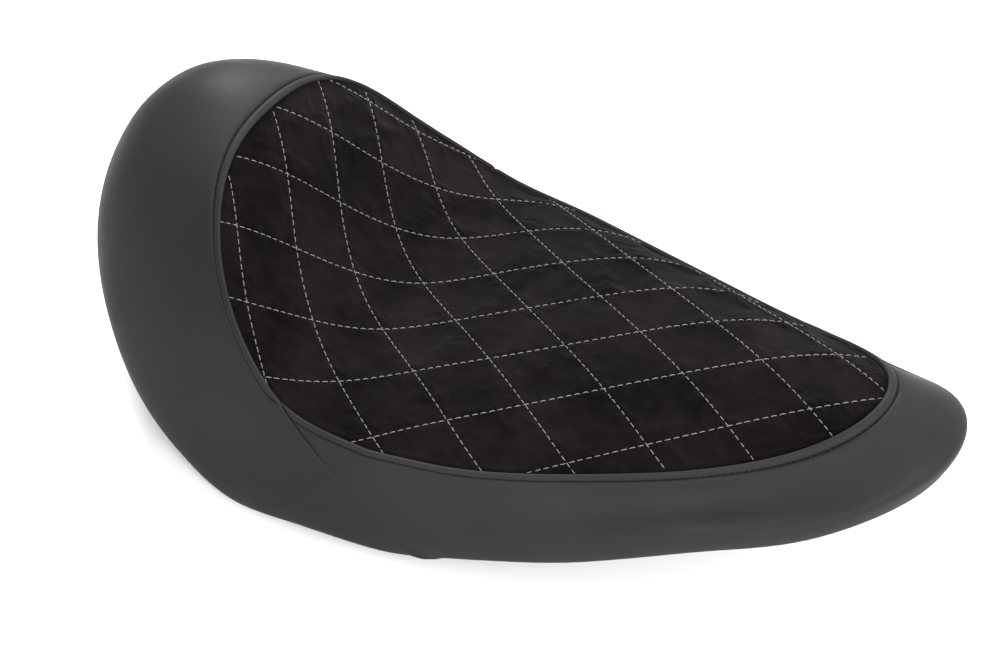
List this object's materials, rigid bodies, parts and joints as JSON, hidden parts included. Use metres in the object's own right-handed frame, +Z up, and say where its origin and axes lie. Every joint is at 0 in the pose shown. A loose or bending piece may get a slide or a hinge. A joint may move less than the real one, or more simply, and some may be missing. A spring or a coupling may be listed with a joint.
{
  "type": "motorcycle seat",
  "caption": "Low motorcycle solo seat with a tall rear bolster, a diamond-quilted suede insert and smooth vinyl side bands, on a moulded pan with a rear strap and a front tongue.",
  "frame": {"origin": "middle of the seat's footprint, at the level of the lowest edge of its side skirts", "axes": "+X towards the nose of the seat, +Y to the rider's left, +Z up"},
  "size_m": [0.5548, 0.2766, 0.1952],
  "materials": {
    "suede": "matt brushed nap",
    "lining_foam": "matt open cell",
    "vinyl": "satin, fine grain",
    "cushion_foam": "matt moulded skin",
    "pan_plastic": "moulded, fine texture",
    "black_steel": "satin powder coat",
    "knurled_steel": "polished, knurled edge",
    "zinc_steel": "zinc plated",
    "rubber": "matt",
    "nylon": "natural, slightly waxy",
    "rivet_black": "moulded, satin"
  },
  "bodies": {
    "seat": {"quilted_insert": "suede", "quilt_foam": "lining_foam", "rear_band": "vinyl", "front_band": "vinyl", "seat_foam": "cushion_foam", "seat_pan": "pan_plastic", "rear_strap": "black_steel", "front_tongue": "black_steel", "strap_washer_1": "zinc_steel", "strap_bolt_1": "zinc_steel", "tee_nut_1": "zinc_steel", "strap_washer_2": "zinc_steel", "strap_bolt_2": "zinc_steel", "tee_nut_2": "zinc_steel", "tongue_rivet_1": "zinc_steel", "tongue_rivet_2": "zinc_steel", "tongue_rivet_3": "zinc_steel", "bumper_1": "rubber", "bumper_screw_1": "zinc_steel", "bumper_2": "rubber", "bumper_screw_2": "zinc_steel", "bumper_3": "rubber", "bumper_screw_3": "zinc_steel", "bumper_4": "rubber", "bumper_screw_4": "zinc_steel", "bumper_5": "rubber", "bumper_screw_5": "zinc_steel", "bumper_6": "rubber", "bumper_screw_6": "zinc_steel", "hem_rivet_1": "rivet_black", "hem_rivet_2": "rivet_black", "hem_rivet_3": "rivet_black", "hem_rivet_4": "rivet_black", "hem_rivet_5": "rivet_black", "hem_rivet_6": "rivet_black", "hem_rivet_7": "rivet_black", "hem_rivet_8": "rivet_black", "hem_rivet_9": "rivet_black", "hem_rivet_10": "rivet_black", "hem_rivet_11": "rivet_black", "hem_rivet_12": "rivet_black", "hem_rivet_13": "rivet_black", "hem_rivet_14": "rivet_black"},
    "rear_screw": {"thumb_screw": "knurled_steel", "screw_washer": "nylon"}
  },
  "joints": [
    {"name": "rear_screw_turn", "type": "hinge", "parent": "seat", "child": "rear_screw", "pos_m": [-0.264, 0, 0.07], "axis": [0, 0, 1], "continuous": true}
  ]
}
